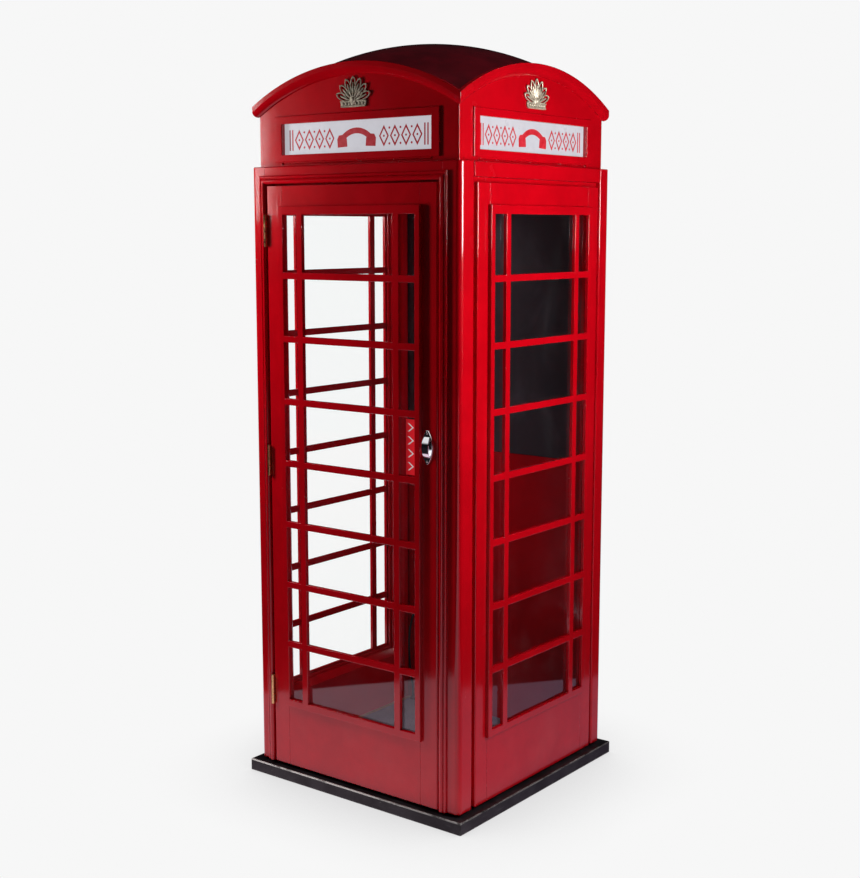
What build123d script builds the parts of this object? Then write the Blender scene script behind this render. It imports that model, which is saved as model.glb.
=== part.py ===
"""Full-size street telephone kiosk: timber-framed body on a plinth, lit header and domed roof.

Units are millimetres. The origin is the centre of the plinth's underside, +Z is up and the door
is on the -Y side. Every wall is drawn as if it were the front one, facing -Y, and is then turned
about Z to its own side.
"""

from build123d import *
import math
import os

# ---------------------------------------------------------------- driving dimensions
fit = 0.5                     # joint gap between neighbouring pieces
plinth_side = 920
plinth_height = 40
body_half = 432               # outer faces of the corner posts
body_bottom = 50
body_top = 2094
header_half = 410             # outer faces of the header above the body
wall_depth = 44               # thickness of every wall frame and of the door leaf
door_offset = -4              # the doorway sits a little to the left of the middle
side_wall_offset = 8          # the right wall sits this much to the back, the left to the front

# Door leaf and its frame
leaf_width = 711
leaf_height = 1981
leaf_recess = 6               # leaf face behind the face of the door frame
leaf_gap = 6                  # clearance between leaf and frame
leaf_undercut = 2             # clearance under the leaf
frame_face = 28               # width of the door frame's front moulding
frame_proud = 12
reveal = 6                    # thickness of the frame's lining
stop_overlap = 9.5            # how far the door stop reaches behind the leaf
stop_depth = 19.5

# Glazing pattern shared by the door and the two glazed walls
rows = 8
pane_height = 186.5
cross_bar = 22
opening_half = 274
upright_bar = 25
upright_bar_x = 201
opening_bottom = 291
board_half = 295
board_margin_bottom = 24
board_margin_top = 28
board_thickness = 12
board_lap = 8                 # the board covers the frame's inner edge by this much
glass_thickness = 4
bead_width = 8
bead_depth = 6
splay_start = 20              # the frame behind the glass is square this deep, then splayed
splay_width = 20

# Door pull
pull_length = 106
pull_width = 42
pull_plate = 3
pull_strap = 4
pull_stand_off = 15
pull_z = 1222

# Header, signs and roof
arch_centre_z = 1572
arch_radius = 836.5
arch_moulding = 38
arch_projection = 18
dome_centre_z = 1602
dome_radius = 894
dome_shell = 10
header_wall = 10
sign_frame_proud = 5
vent_slot = 3
vent_end_radius = 4.5
vent_height = 2102
sign_half = 308
sign_bottom, sign_top = 2131, 2230
sign_frame_half = 340
sign_frame_bottom, sign_frame_top = 2108, 2255

# Hinges
hinge_heights = (311, 1117, 1886)
hinge_length = 102
hinge_plate_depth = 33
hinge_screw_heights = (-36, 0, 36)
barrel_radius = 5
pin_radius = 2
pin_play = 0.05

# ---------------------------------------------------------------- worked-out dimensions
post_width = 60               # back posts, and the depth of the front left and back right ones
post_deep = 72                # depth of the front right and back left posts
frame_y = -(body_half + frame_proud)
leaf_y = frame_y + leaf_recess
leaf_back = leaf_y + wall_depth
leaf_left = door_offset - leaf_width / 2
leaf_right = door_offset + leaf_width / 2
leaf_top = body_bottom + leaf_height
doorway_left = leaf_left - leaf_gap
doorway_right = leaf_right + leaf_gap
doorway_half = leaf_width / 2 + leaf_gap
doorway_top = leaf_top + leaf_gap
post_inner_left = doorway_left - reveal - fit
post_inner_right = doorway_right + reveal + fit
post_back_inner = body_half - post_width
deep_post_inner = body_half - post_deep
rail_bottom = doorway_top + 11
inner_half = body_half - wall_depth
side_wall_half = 352
back_wall_half = 360
opening_top = opening_bottom + rows * pane_height + (rows - 1) * cross_bar
board_bottom = opening_bottom - board_margin_bottom
board_top = opening_top + board_margin_top
hole_half = board_half - board_lap
hole_bottom = board_bottom + board_lap
hole_top = board_top - board_lap
gap_middle = (leaf_left + doorway_left) / 2
hinge_x = gap_middle + 1.5
hinge_y = frame_y - 1
floor_thickness = 18
floor_top = body_bottom + floor_thickness
ceiling_bottom = rail_bottom + 2
ceiling_thickness = 12
back_board_split = 1084
back_board_thickness = 12
pull_x = leaf_right - 39


# ---------------------------------------------------------------- shared shapes
def block(x, y, z):
    """Box between the given (low, high) pairs."""
    size = [high - low for low, high in (x, y, z)]
    middle = [(high + low) / 2 for low, high in (x, y, z)]
    return Pos(*middle) * Box(*size)


def upright(sketch, y_back, thickness):
    """Extrude a sketch drawn in X and Z from y_back towards the front."""
    return extrude(Plane.XZ.offset(-y_back) * sketch, amount=thickness)


def rectangle(x, z):
    """Rectangle in the X-Z sketch between the given (low, high) pairs."""
    centre = ((x[0] + x[1]) / 2, (z[0] + z[1]) / 2)
    return Pos(*centre) * Rectangle(x[1] - x[0], z[1] - z[0])


def soften_front(part, radius):
    """Round every edge of the part's frontmost face."""
    return fillet(part.faces().sort_by(Axis.Y)[0].edges(), radius)


def front_quarter(gap):
    """Everything that lies in front of the two diagonals of the plan, up to a mitre gap."""
    reach = 700
    outline = Polyline((0, -gap), (-reach, -reach - gap), (reach, -reach - gap), (0, -gap))
    return extrude(make_face(outline), amount=3000)


def on_four_sides(part):
    """The same piece on the front, right, back and left."""
    return [Rot(0, 0, turn) * part for turn in (0, 90, 180, 270)]


def group(pieces):
    """Several separate solids kept together in one node."""
    return Compound(children=list(pieces))


# ---------------------------------------------------------------- plinth, floor and posts
def plinth():
    reach = plinth_side / 2
    slab = block((-reach, reach), (-reach, reach), (0, plinth_height))
    slab = fillet(slab.edges().filter_by(Axis.Z), 4)
    return fillet(slab.faces().sort_by(Axis.Z)[-1].edges(), 3)


def base_frame():
    """Black packer frame that lifts the body off the plinth and leaves a shadow line."""
    outer, inner = body_half - 28, body_half - 82
    height = (plinth_height, body_bottom)
    return block((-outer, outer), (-outer, outer), height) - block((-inner, inner), (-inner, inner), height)


def deck(bottom, thickness):
    """Floor or ceiling board, notched round the four posts."""
    reach = inner_half - fit
    post_edge = deep_post_inner - fit
    height = (bottom, bottom + thickness)
    wide = block((-reach, reach), (-post_edge, post_edge), height)
    long = block((post_inner_left + fit, post_inner_right - fit), (-post_edge - 11.5, reach), height)
    return wide + long


def post(x, y, soft_corner, gap_corners):
    """Corner post: a big radius on its outer corner, smaller ones beside the wall grooves."""
    bar = block(x, y, (body_bottom, body_top))
    for (corner_x, corner_y), radius in [(soft_corner, 18)] + [(corner, 7) for corner in gap_corners]:
        edges = bar.edges().filter_by(Axis.Z)
        nearest = edges.sort_by(lambda edge: math.dist(tuple(edge.center())[:2], (corner_x, corner_y)))[0]
        bar = fillet(nearest, radius)
    return fillet(bar.faces().sort_by(Axis.Z)[-1].edges(), 3)


def front_post(inner_x):
    side = math.copysign(1, inner_x)
    outer = side * body_half
    back = -deep_post_inner if side > 0 else -post_back_inner
    x = tuple(sorted((inner_x, outer)))
    return post(x, (-body_half, back), (outer, -body_half), [(outer, back)])


def back_posts():
    posts = []
    for side in (-1, 1):
        outer, inner = side * body_half, side * post_back_inner
        front = post_back_inner if side > 0 else deep_post_inner
        gaps = [(outer, front), (inner, body_half)]
        x, y = tuple(sorted((inner, outer))), (front, body_half)
        posts.append(post(x, y, (outer, body_half), gaps))
    return group(posts)


# ---------------------------------------------------------------- top rails
def top_rail(x):
    rail = block(x, (-body_half, -inner_half), (rail_bottom, body_top))
    outer_top = rail.edges().filter_by(Axis.X).group_by(Axis.Z)[-1].sort_by(Axis.Y)[0]
    return fillet(outer_top, 4)


def front_rail():
    return top_rail((post_inner_left + fit, post_inner_right - fit))


def back_rail():
    reach = post_back_inner - fit
    return Rot(0, 0, 180) * top_rail((-reach, reach))


def side_rails():
    rail = top_rail((-deep_post_inner + fit, post_back_inner - fit))
    return group([Rot(0, 0, 90) * rail, Rot(0, 0, -90) * rail])


# ---------------------------------------------------------------- framed walls and glazing
def stiles_and_rails(x, hole_x, z, hole_z, y_face, depth, rounding):
    """Two uprights at full height and two cross rails between them."""
    y = (y_face, y_face + depth)
    stiles = [block((x[0], hole_x[0]), y, z), block((hole_x[1], x[1]), y, z)]
    if rounding:
        for index, inner in enumerate((hole_x[0], hole_x[1])):
            front = stiles[index].faces().sort_by(Axis.Y)[0].edges().filter_by(Axis.Z)
            outer = front.sort_by(lambda edge: abs(edge.center().X - inner))[-1]
            stiles[index] = fillet(outer, rounding)
    between = (hole_x[0] + fit, hole_x[1] - fit)
    rails = [block(between, y, (z[0], hole_z[0])), block(between, y, (hole_z[1], z[1]))]
    return stiles, rails


def wall_frame(centre, half, front_gap, back_gap):
    """Stiles and rails of a wall, with tongues that close the grooves beside and above it."""
    x = (centre - half, centre + half)
    hole_x = (centre - hole_half, centre + hole_half)
    z = (body_bottom, leaf_top)
    stiles, rails = stiles_and_rails(x, hole_x, z, (hole_bottom, hole_top), -body_half, wall_depth, 5)
    tongue_y = (-body_half + 18, -body_half + 34)
    groove_z = (body_bottom, rail_bottom - fit)
    stiles[0] += block((x[0] - front_gap + fit, hole_x[0]), tongue_y, groove_z)
    stiles[1] += block((hole_x[1], x[1] + back_gap - fit), tongue_y, groove_z)
    rails[1] += block((hole_x[0] + fit, hole_x[1] - fit), tongue_y, (hole_top, rail_bottom - fit))
    return stiles, rails


def pane_centres():
    """Centre and width of each of the three columns, and centre height of each row."""
    inner_width = 2 * upright_bar_x - upright_bar
    outer_width = opening_half - upright_bar_x - upright_bar / 2
    outer_x = opening_half - outer_width / 2
    columns = [(-outer_x, outer_width), (0, inner_width), (outer_x, outer_width)]
    heights = [opening_bottom + pane_height / 2 + row * (pane_height + cross_bar) for row in range(rows)]
    return columns, heights


def grille_board(centre, y_back):
    """One board cut into a narrow, a wide and a narrow column of panes."""
    sketch = rectangle((-board_half, board_half), (board_bottom, board_top))
    columns, heights = pane_centres()
    panes = [Pos(x, z) * Rectangle(width, pane_height) for x, width in columns for z in heights]
    board = soften_front(upright(sketch - panes, y_back - 0.2, board_thickness), 2)
    return Pos(centre, 0, 0) * board


def glass_sheet(centre, frame_face_y):
    x = (centre - hole_half + 1, centre + hole_half - 1)
    z = (hole_bottom + 1, hole_top - 1)
    return block(x, (frame_face_y + 0.3, frame_face_y + 0.3 + glass_thickness), z)


def glazing_beads(centre, frame_face_y):
    """Four slim beads that hold the glass from the inside."""
    reach = hole_half - fit
    x = (centre - reach, centre + reach)
    z = (hole_bottom + fit, hole_top - fit)
    hole_x = (x[0] + bead_width, x[1] - bead_width)
    hole_z = (z[0] + bead_width, z[1] - bead_width)
    y_face = frame_face_y + 0.6 + glass_thickness
    stiles, rails = stiles_and_rails(x, hole_x, z, hole_z, y_face, bead_depth, 0)
    return group(stiles + rails)


def splayed_hole(centre, frame_face_y):
    """Space that opens out towards the inside, cut from the frame behind the beads."""
    ends = [(splay_start, 0), (wall_depth + 1, splay_width)]
    sections = []
    for depth, out in ends:
        outline = rectangle((centre - hole_half - out, centre + hole_half + out),
                            (hole_bottom - out, hole_top + out))
        sections.append(Plane.XZ.offset(-frame_face_y - depth) * outline)
    return loft(sections)


def splay(pieces, centre, frame_face_y):
    return [piece - splayed_hole(centre, frame_face_y) for piece in pieces]


def glazed_wall(prefix, centre, turn, front_gap, back_gap):
    """All pieces of one glazed side wall, turned to its side."""
    stiles, rails = wall_frame(centre, side_wall_half, front_gap, back_gap)
    pieces = {
        "stiles": group(splay(stiles, centre, -body_half)),
        "rails": group(splay(rails, centre, -body_half)),
        "grille": grille_board(centre, -body_half),
        "glass": glass_sheet(centre, -body_half),
        "glazing_beads": glazing_beads(centre, -body_half),
    }
    return {f"{prefix}_{name}": Rot(0, 0, turn) * piece for name, piece in pieces.items()}


def side_walls():
    """The left wall is the right one turned half a turn."""
    deep_post_gap = deep_post_inner - side_wall_half + side_wall_offset
    other_gap = post_back_inner - side_wall_half - side_wall_offset
    right = glazed_wall("right_wall", side_wall_offset, 90, deep_post_gap, other_gap)
    left = glazed_wall("left_wall", side_wall_offset, -90, deep_post_gap, other_gap)
    return right | left


def back_wall():
    """Solid back: framed, sheeted outside, and lined inside with an upper and a lower board."""
    gap = post_back_inner - back_wall_half
    stiles, rails = wall_frame(0, back_wall_half, gap, gap)
    field = rectangle((-board_half, board_half), (board_bottom, board_top))
    sheet = soften_front(upright(field, -body_half - 0.2, board_thickness), 2)
    groove = block((-board_half, board_half), (-body_half - board_thickness - 1, -body_half - 6),
                   (back_board_split - 3, back_board_split + 3))
    board_back = -deep_post_inner + fit
    inside = (board_back, board_back + back_board_thickness)
    reach = inner_half - fit
    lower = block((-reach, reach), inside, (floor_top + fit, back_board_split - 1))
    upper = block((-reach, reach), inside, (back_board_split + 1, ceiling_bottom - fit))
    batten_y = (-inner_half + fit, board_back)
    batten_z = (floor_top + fit, ceiling_bottom - fit)
    battens = [block((x - 20, x + 20), batten_y, batten_z) for x in (-300, 0, 300)]
    pieces = {
        "back_board_battens": group(battens),
        "back_wall_stiles": group(stiles),
        "back_wall_rails": group(rails),
        "back_wall_sheet": sheet - groove,
        "back_board_lower": lower,
        "back_board_upper": upper,
    }
    return {name: Rot(0, 0, 180) * piece for name, piece in pieces.items()}


# ---------------------------------------------------------------- door frame
def above_mitre():
    """Half-space above the two mitre lines of the door frame."""
    apex = doorway_top - doorway_half
    reach = 1500
    outline = Polyline((door_offset, apex), (door_offset + reach, apex + reach),
                       (door_offset - reach, apex + reach), (door_offset, apex))
    return upright(make_face(outline), 0, 600)


def surround_profile():
    """Section of the door frame's front moulding: a full bead inside and a lower bead outside it."""
    height = frame_proud - 0.3
    inner_bead = Pos(8.5, height - 8.5) * Circle(8.5) & Pos(8.5, height / 2) * Rectangle(17, height)
    inner_body = Pos(8.5, (height - 8.5) / 2) * Rectangle(17, height - 8.5)
    outer_bead = Pos(frame_face - 5.5, 2.2) * Circle(5.5) & Pos(frame_face - 5.5, 4) * Rectangle(11, 8)
    bottom = Pos(frame_face / 2, 1.1) * Rectangle(frame_face, 2.2)
    return inner_bead + inner_body + outer_bead + bottom


def jamb_moulding(side, y_back):
    edge = doorway_right if side > 0 else doorway_left
    plane = Plane(origin=(edge, y_back, body_bottom), x_dir=(side, 0, 0), z_dir=(0, 0, -side))
    length = doorway_top + frame_face - body_bottom
    return extrude(plane * surround_profile(), amount=-side * length)


def head_moulding(y_back):
    reach = doorway_half + frame_face
    plane = Plane(origin=(door_offset - reach, y_back, doorway_top), x_dir=(0, 0, 1), z_dir=(1, 0, 0))
    return extrude(plane * surround_profile(), amount=2 * reach)


def door_frame():
    """Left jamb, right jamb and head: moulding in front, lining in the middle, stop behind."""
    stop_y = (leaf_back + 2.5, leaf_back + 2.5 + stop_depth)
    back_of_face = -body_half - 0.3
    lining = (doorway_left - reveal, doorway_right + reveal)
    stop = (leaf_left + stop_overlap, leaf_right - stop_overlap)
    doorway = rectangle((doorway_left, doorway_right), (0, doorway_top))
    liner = rectangle(lining, (body_bottom, rail_bottom - fit)) - doorway
    inner = upright(liner, stop_y[1], stop_y[1] - back_of_face)
    inside = rectangle(stop, (0, leaf_top - stop_overlap))
    stops = rectangle((doorway_left, doorway_right), (body_bottom, doorway_top)) - inside
    inner += upright(stops, stop_y[1], stop_depth)
    above = above_mitre()
    head = (inner + head_moulding(back_of_face)) & above
    jambs = [jamb_moulding(side, back_of_face) - above for side in (-1, 1)]
    linings = (inner - above).solids().sort_by(Axis.X)
    jambs = [moulding + part for moulding, part in zip(jambs, linings)]
    threshold = block((stop[0] + fit, stop[1] - fit), stop_y, (body_bottom, floor_top + 4))
    return {
        "door_jamb_left": jambs[0],
        "door_jamb_right": jambs[1],
        "door_head": head,
        "threshold": threshold,
    }


# ---------------------------------------------------------------- door leaf
def lens(half_length, half_width, y_back, thickness):
    """Upright plate shaped like a lens: widest in the middle, narrow at the top and bottom."""
    radius = (half_length ** 2 + half_width ** 2) / (2 * half_width)
    shift = radius - half_width
    outline = (Pos(shift, 0) * Circle(radius)) & (Pos(-shift, 0) * Circle(radius))
    return upright(outline, y_back, thickness)


def pull_handle():
    """Pull: a lens-shaped plate with two screw tabs, and a curved strap that stands off it."""
    base = leaf_y - 0.2
    plate = lens(pull_length / 2 + 4, pull_width / 2, base, pull_plate)
    tabs = [Pos(0, 0, side * (pull_length / 2 - 8)) * lens_tab(base) for side in (-1, 1)]
    plate = (plate + tabs) & block((-40, 40), (base - 20, base), (-pull_length / 2, pull_length / 2))
    plate = soften_front(plate, 0.8)
    run = pull_length / 2 - 17
    bow_radius = (run ** 2 + pull_stand_off ** 2) / (2 * pull_stand_off)
    ring = Circle(bow_radius) - Circle(bow_radius - pull_strap)
    bow = Plane.YZ * (Pos(base - pull_stand_off + bow_radius, 0) * ring)
    bow = extrude(bow, amount=pull_width / 2 - 7, both=True) & lens(run + 30, pull_width / 2 - 8, base, 60)
    bow &= block((-40, 40), (base - pull_stand_off - 1, base - pull_plate + 0.5), (-run, run))
    return Pos(pull_x, 0, pull_z) * (plate + bow)


def lens_tab(base):
    return upright(Circle(7.5), base, pull_plate)


def pull_screws():
    """Domed screws with a straight slot, one in each tab."""
    head_y = leaf_y - 0.2 - pull_plate
    head = (Pos(0, 3.2, 0) * Sphere(5)) & block((-4, 4), (-2, 0), (-4, 4))
    head -= block((-4, 4), (-2, -1.1), (-0.4, 0.4))
    spread = pull_length / 2 - 8
    return group(Pos(pull_x, head_y - 0.05, pull_z + side * spread) * head for side in (-1, 1))


def door_leaf():
    x = (leaf_left, leaf_right)
    hole_x = (door_offset - hole_half, door_offset + hole_half)
    z = (body_bottom + leaf_undercut, leaf_top)
    stiles, rails = stiles_and_rails(x, hole_x, z, (hole_bottom, hole_top), leaf_y, wall_depth, 6)
    stiles, rails = splay(stiles, door_offset, leaf_y), splay(rails, door_offset, leaf_y)
    row_four = opening_bottom + 4 * (pane_height + cross_bar)
    label_right = door_offset + opening_half - 2
    label_z = (row_four + 4, row_four + 180)
    label = block((label_right - 40, label_right), (leaf_y - 0.6, leaf_y + 0.2), label_z)
    return {
        "door_stile_hinge": stiles[0],
        "door_stile_lock": stiles[1],
        "door_bottom_rail": rails[0],
        "door_top_rail": rails[1],
        "door_grille": grille_board(door_offset, leaf_y),
        "door_glass": glass_sheet(door_offset, leaf_y),
        "door_glazing_beads": glazing_beads(door_offset, leaf_y),
        "door_label": label,
        "door_pull": pull_handle(),
        "door_pull_screws": pull_screws(),
    }


def door_catch():
    """Magnet under the head stop and the steel plate it holds, on the leaf's back."""
    x = (door_offset + 244, door_offset + 294)
    z_top = leaf_top - stop_overlap
    magnet = block(x, (leaf_back + 2.7, leaf_back + 20), (z_top - 24, z_top - fit))
    plate = block(x, (leaf_back + 0.1, leaf_back + 2), (z_top - 23, z_top - 1.5))
    return {"catch_magnet": fillet(magnet.edges().filter_by(Axis.Z), 2), "catch_plate": plate}


# ---------------------------------------------------------------- hinges
def hinge_leaf(side, knuckles):
    """Flat plate in the door gap with its share of the knuckles; side is -1 frame, +1 door."""
    from_axis = gap_middle - hinge_x
    plate_x = sorted(from_axis + side * reach for reach in (0.7, leaf_gap / 2 - 0.1))
    z = (-hinge_length / 2, hinge_length / 2)
    plate = block(plate_x, (0, hinge_plate_depth), z)
    leaf = plate - Cylinder(barrel_radius + 0.6, hinge_length + 2)
    pitch = hinge_length / 5
    for number in knuckles:
        middle = z[0] + (number + 0.5) * pitch
        barrel = Pos(0, 0, middle) * Cylinder(barrel_radius, pitch - 0.4)
        root = block(plate_x, (0, barrel_radius + 1), (middle - pitch / 2 + 0.2, middle + pitch / 2 - 0.2))
        leaf = leaf + (barrel + root)
    leaf -= Cylinder(pin_radius + pin_play, hinge_length + 2)
    for height in hinge_screw_heights:
        leaf -= at_screw(height, side) * countersink()
    return leaf


def at_screw(height, side):
    """Place of a hinge screw on the gap's middle plane, pointing into the frame or the leaf."""
    depth = 29 if height == 0 else 19
    return Pos(gap_middle - hinge_x, depth, height) * Rot(0, side * 90, 0)


def countersink():
    """Countersunk hole through a hinge plate, drawn along +Z from the gap's middle plane."""
    return Pos(0, 0, 1.9) * Cone(3.7, 2.0, 2.4) + Cylinder(2.1, 12)


def hinge_screw():
    """Slotted countersunk wood screw, drawn along +Z with its head near the gap's middle plane."""
    head = Pos(0, 0, 1.9) * Cone(3.5, 1.8, 2.2) - block((-4, 4), (-0.4, 0.4), (0, 1.5))
    return head + Pos(0, 0, 2.9 + 12) * Cylinder(1.8, 24)


def hinge_pin():
    stem = Cylinder(pin_radius, hinge_length + 1)
    tips = [Pos(0, 0, side * (hinge_length / 2 + 1.1)) * Cylinder(4, 1.6) for side in (-1, 1)]
    tips = [fillet(tip.edges(), 0.6) for tip in tips]
    return stem + tips


def hinges():
    """Three butt hinges, each with a frame leaf, a door leaf, a pin and six screws."""
    places = [Pos(hinge_x, hinge_y, height) for height in hinge_heights]
    frame_leaf = hinge_leaf(-1, (0, 2, 4))
    door_leaf_plate = hinge_leaf(1, (1, 3))
    screws = {-1: [], 1: []}
    for side in (-1, 1):
        for height in hinge_screw_heights:
            screws[side].append(at_screw(height, side) * hinge_screw())
    return {
        "hinge_frame_leaves": group(place * frame_leaf for place in places),
        "hinge_door_leaves": group(place * door_leaf_plate for place in places),
        "hinge_pins": group(place * hinge_pin() for place in places),
        "hinge_frame_screws": group(place * screw for place in places for screw in screws[-1]),
        "hinge_door_screws": group(place * screw for place in places for screw in screws[1]),
    }


# ---------------------------------------------------------------- header and signs
def vent_slot_sketch():
    """Thin slot under a sign with a round hole at each end."""
    slot_z = (vent_height - vent_slot / 2, vent_height + vent_slot / 2)
    ends = [Pos(side * sign_half, vent_height) * Circle(vent_end_radius) for side in (-1, 1)]
    return rectangle((-sign_half, sign_half), slot_z) + ends


def header_walls():
    """Four mitred walls with an arched top, a sign opening and a thin vent slot below it."""
    z_low = body_top + fit
    blank = rectangle((-header_half, header_half), (z_low, 2500))
    arch = blank & (Pos(0, arch_centre_z) * Circle(arch_radius - 4))
    arch -= rectangle((-sign_half, sign_half), (sign_bottom, sign_top))
    wall = upright(arch, -header_half + header_wall, header_wall) & front_quarter(0.2)
    wall -= upright(vent_slot_sketch(), -header_half + 6, 8)
    wall &= Pos(0, 0, dome_centre_z) * Sphere(dome_radius - dome_shell - fit)
    return group(on_four_sides(wall))


def header_blocks():
    """Glue blocks inside the four corners of the header."""
    outer = header_half - header_wall - fit
    upright_block = block((outer - 28, outer), (-outer, -outer + 28), (body_top + fit, 2262))
    return group(on_four_sides(upright_block))


def sign_frames():
    ring = rectangle((-sign_frame_half, sign_frame_half), (sign_frame_bottom, sign_frame_top))
    ring -= rectangle((-sign_half, sign_half), (sign_bottom, sign_top))
    frame = soften_front(upright(ring, -header_half - 0.2, sign_frame_proud), 2)
    return group(on_four_sides(frame))


def sign_panels():
    """Opal sheets behind the sign openings."""
    back = -header_half + header_wall + fit + 4
    outline = rectangle((-sign_half - 14, sign_half + 14), (sign_bottom - 14, sign_top + 14))
    sheet = upright(outline, back, 4)
    return group(on_four_sides(sheet))


def sign_lamps():
    """Lamp battens that stand on the ceiling behind each sign."""
    z = (ceiling_bottom + ceiling_thickness + fit, ceiling_bottom + ceiling_thickness + 56)
    batten = block((-240, 240), (-378, -342), z)
    batten = fillet(batten.faces().sort_by(Axis.Z)[-1].edges().filter_by(Axis.X), 14)
    return group(on_four_sides(batten))


# ---------------------------------------------------------------- roof
def arch_mouldings():
    """Four mitred mouldings that follow the arches: a flat upper band that curves in to the wall."""
    back = -header_half - 0.2
    front = back - arch_projection
    top = arch_centre_z + arch_radius
    foot = top - arch_moulding
    outline = Polyline((back, foot), (back, top), (front, top), (front, top - 15))
    curve = ThreePointArc((front, top - 15), (front + 4, foot + 11), (back - 3, foot))
    section = make_face(outline + curve + Line((back - 3, foot), (back, foot)))
    ring = revolve(Plane.YZ * section, Axis((0, 0, arch_centre_z), (0, 1, 0)), 360)
    ring &= block((-460, 460), (-500, -300), (2150, 2500))
    return group(on_four_sides(ring & front_quarter(0.2)))


def roof_dome():
    """Shallow spherical shell, square in plan, that sits inside the four mouldings."""
    shell = Sphere(dome_radius) - Sphere(dome_radius - dome_shell)
    square = block((-header_half, header_half), (-header_half, header_half), (500, 1000))
    return Pos(0, 0, dome_centre_z) * (shell & square)


def pediment_ornaments():
    """Plain fan of seven lobes on a flat band, one on each arch."""
    band_z = 2272
    band = rectangle((-52, 52), (band_z, band_z + 18))
    base = (0, band_z + 16)
    lobes = []
    for step in range(-3, 4):
        angle = math.radians(90 - 24 * step)
        length = 72
        middle = (base[0] + length / 2 * math.cos(angle), base[1] + length / 2 * math.sin(angle))
        lobes.append(Pos(*middle) * Rot(0, 0, math.degrees(angle)) * Ellipse(length / 2, 11))
    fan = upright(Sketch() + lobes + [Pos(*base) * Circle(20)], -header_half - 0.2, 7)
    fan &= block((-90, 90), (-500, -300), (band_z + 9, band_z + 120))
    ornament = fan + upright(band, -header_half - 0.2, 9)
    return group(on_four_sides(ornament))


# ---------------------------------------------------------------- inside fittings
def floor_mat():
    mat = block((-366, 358), (-352, 344), (floor_top + 0.2, floor_top + 5))
    return fillet(mat.edges().filter_by(Axis.Z), 12)


def ceiling_lamp():
    base = Pos(0, 0, ceiling_bottom - fit - 6) * Cylinder(98, 12)
    cover_radius, cover_depth = 88, 34
    sphere_radius = (cover_radius ** 2 + cover_depth ** 2) / (2 * cover_depth)
    rim_z = ceiling_bottom - fit - 12 - 0.2
    ball = Pos(0, 0, rim_z + sphere_radius - cover_depth) * Sphere(sphere_radius)
    cover = ball & block((-100, 100), (-100, 100), (rim_z - cover_depth, rim_z))
    base = fillet(base.edges().group_by(Axis.Z)[0], 4)
    return {"ceiling_lamp_base": base, "ceiling_lamp_cover": cover}


def cable():
    """Supply cable: it leaves the lower back board and drops into the floor in the corner."""
    route = Spline((-318, 339, 452), (-350, 320, 390), (-357, 312, 250), (-346, 316, 140), (-342, 316, 76),
                   tangents=[(-0.4, -1, -0.3), (0, 0, -1)])
    section = Plane(origin=route @ 0, z_dir=route % 0) * Circle(4)
    return sweep(section, path=route)


def cable_glands():
    """Hexagonal glands where the cable enters the board and the floor."""
    hexagon = extrude(RegularPolygon(13, 6), amount=8)
    board_face = deep_post_inner - fit - back_board_thickness
    in_board = Pos(-318, board_face - 0.2, 452) * Rot(90, 0, 0) * hexagon
    in_floor = Pos(-342, 316, floor_top + 5.2) * hexagon
    return group([in_board, in_floor])


# ---------------------------------------------------------------- assembly
def all_parts():
    parts = {
        "plinth": plinth(),
        "base_frame": base_frame(),
        "floor_board": deck(body_bottom, floor_thickness),
        "floor_mat": floor_mat(),
        "post_front_left": front_post(post_inner_left),
        "post_front_right": front_post(post_inner_right),
        "posts_back": back_posts(),
        "top_rail_front": front_rail(),
        "top_rail_back": back_rail(),
        "top_rails_side": side_rails(),
        "ceiling_board": deck(ceiling_bottom, ceiling_thickness),
        "header_walls": header_walls(),
        "header_blocks": header_blocks(),
        "sign_frames": sign_frames(),
        "sign_panels": sign_panels(),
        "sign_lamps": sign_lamps(),
        "arch_mouldings": arch_mouldings(),
        "roof_dome": roof_dome(),
        "pediment_ornaments": pediment_ornaments(),
        "cable": cable(),
        "cable_glands": cable_glands(),
    }
    for section in (side_walls, back_wall, door_frame, door_leaf, door_catch, hinges, ceiling_lamp):
        parts |= section()
    return parts


os.makedirs("parts", exist_ok=True)
for node, shape in all_parts().items():
    shape.label = node
    export_step(shape, f"parts/{node}.step")
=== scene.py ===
"""Looks for the telephone booth: materials, sign faces, ornaments, light, floor and camera."""

import math

import bmesh
import bpy
from mathutils import Matrix, Vector


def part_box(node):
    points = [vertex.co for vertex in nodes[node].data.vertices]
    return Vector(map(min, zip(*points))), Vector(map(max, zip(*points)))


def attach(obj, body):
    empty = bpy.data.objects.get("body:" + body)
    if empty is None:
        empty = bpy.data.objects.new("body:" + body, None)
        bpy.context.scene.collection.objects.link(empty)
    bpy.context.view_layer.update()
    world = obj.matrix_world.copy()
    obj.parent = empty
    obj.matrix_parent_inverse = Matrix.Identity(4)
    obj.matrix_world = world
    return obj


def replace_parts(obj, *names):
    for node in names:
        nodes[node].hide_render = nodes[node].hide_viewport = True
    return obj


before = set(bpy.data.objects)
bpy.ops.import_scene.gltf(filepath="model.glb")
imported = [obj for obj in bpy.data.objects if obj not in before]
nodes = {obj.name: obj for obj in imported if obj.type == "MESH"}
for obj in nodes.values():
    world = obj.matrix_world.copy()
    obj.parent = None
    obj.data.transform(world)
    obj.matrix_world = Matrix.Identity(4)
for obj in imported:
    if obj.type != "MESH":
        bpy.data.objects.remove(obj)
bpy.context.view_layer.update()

BACKDROP = (0.93, 0.93, 0.93, 1)


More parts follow.
